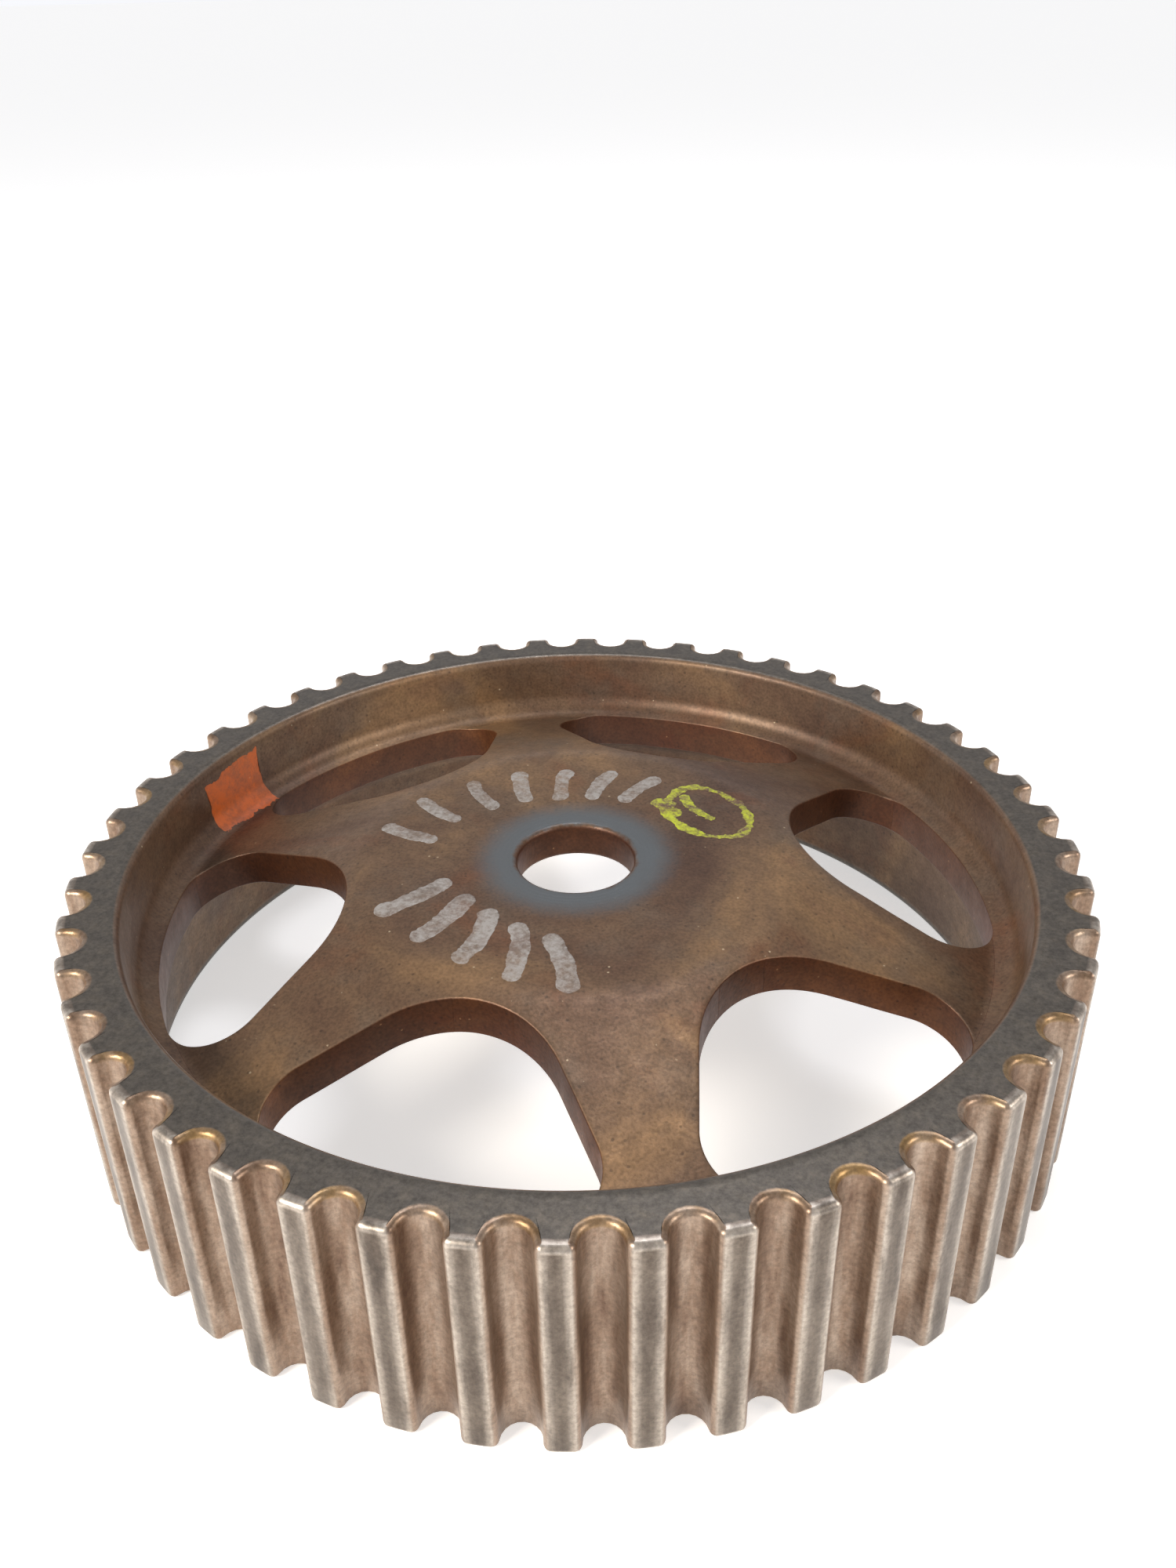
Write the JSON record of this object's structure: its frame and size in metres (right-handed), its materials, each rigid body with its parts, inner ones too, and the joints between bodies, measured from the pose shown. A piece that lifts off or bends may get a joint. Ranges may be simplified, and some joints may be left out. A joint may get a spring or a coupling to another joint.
{
  "type": "timing belt pulley",
  "caption": "Toothed pulley for a timing belt, with a dished web, round-cornered windows and a plain central bore; sintered steel, oil-stained brown with bright worn teeth.",
  "frame": {"origin": "on the bore's axis, level with the back edge of the toothed rim", "axes": "+Z along the bore from the back of the rim to the front face; +X along the middle of spoke_1; +Y completes the right-handed frame"},
  "size_m": [0.144, 0.144, 0.0332],
  "materials": {
    "worn_steel": "sintered steel, belt-polished lands, oil-browned grooves",
    "stained_steel": "as-pressed sintered steel, oxidised and oil-stained brown, traces of paint marks"
  },
  "bodies": {
    "root": {"toothed_rim": "worn_steel", "hub": "stained_steel", "spoke_1": "stained_steel", "spoke_2": "stained_steel", "spoke_3": "stained_steel", "spoke_4": "stained_steel", "spoke_5": "stained_steel", "spoke_6": "stained_steel"}
  },
  "joints": []
}
